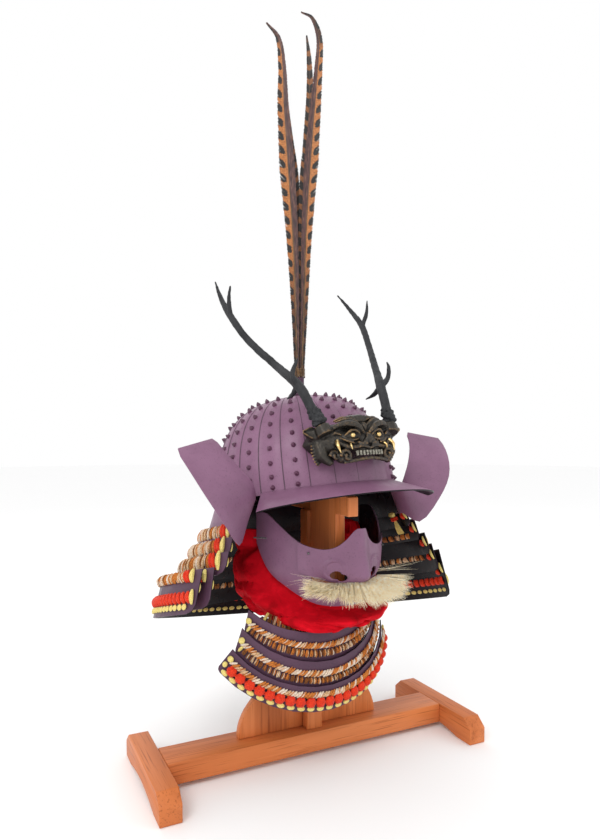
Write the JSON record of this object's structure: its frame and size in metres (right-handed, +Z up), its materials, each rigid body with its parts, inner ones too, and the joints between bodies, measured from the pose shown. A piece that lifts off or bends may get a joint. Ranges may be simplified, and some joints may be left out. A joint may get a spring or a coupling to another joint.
{
  "type": "samurai kabuto helmet with face mask on plain wooden stand",
  "caption": "Riveted plum samurai helmet with laced neck guard, turned back wings, beast crest with antlers, pheasant plume, face mask and throat guard, on a wooden stand.",
  "frame": {"origin": "centre of the assembly's bounding box in X and Y, on the floor under the stand's feet", "axes": "+Z up along the plume; the face looks along -Y; +X is the wearer's left"},
  "size_m": [0.47, 0.36, 1.0187],
  "materials": {
    "stand_wood": "satin, straight reddish grain",
    "plum_lacquer": "satin plum lacquer on steel plate",
    "dark_lacquer": "satin dark plum lacquer",
    "braid_silk": "twisted cream, orange and white silk cord",
    "red_silk": "orange red silk cord knots",
    "yellow_silk": "pale yellow silk discs",
    "crest_bronze": "dark cast bronze look with rubbed gold highs",
    "antler_black": "matt charcoal",
    "moustache_hair": "coarse cream bristle",
    "red_velvet": "crimson crushed velvet over padding",
    "plume_feather": "barred brown tail feather"
  },
  "bodies": {
    "root": {"stand_foot_right": "stand_wood", "stand_foot_left": "stand_wood", "stand_crossbar": "stand_wood", "stand_bracket_right": "stand_wood", "stand_bracket_left": "stand_wood", "stand_post": "stand_wood", "stand_head_board": "stand_wood", "stand_mask_peg": "stand_wood", "bowl": "plum_lacquer", "peak": "plum_lacquer", "wing_right": "plum_lacquer", "wing_left": "plum_lacquer", "neck_lame_1": "plum_lacquer", "mask_cheeks": "plum_lacquer", "mask_nose": "plum_lacquer", "neck_lame_2": "dark_lacquer", "neck_lame_3": "dark_lacquer", "neck_lame_4": "dark_lacquer", "neck_lame_5": "dark_lacquer", "neck_lame_6": "dark_lacquer", "throat_lame_1": "dark_lacquer", "throat_lame_2": "dark_lacquer", "throat_lame_3": "dark_lacquer", "throat_lame_4": "dark_lacquer", "neck_lacing_1": "braid_silk", "neck_lacing_2": "braid_silk", "neck_lacing_3": "braid_silk", "neck_lacing_4": "braid_silk", "neck_lacing_5": "braid_silk", "throat_lacing_1": "braid_silk", "throat_lacing_2": "braid_silk", "throat_lacing_3": "braid_silk", "throat_lacing_4": "braid_silk", "neck_hem_knots": "red_silk", "throat_hem_knots": "red_silk", "neck_hem_dots": "yellow_silk", "throat_hem_dots": "yellow_silk", "crest": "crest_bronze", "antler_right": "antler_black", "antler_left": "antler_black", "moustache": "moustache_hair", "red_collar": "red_velvet", "plume": "plume_feather"}
  },
  "joints": []
}
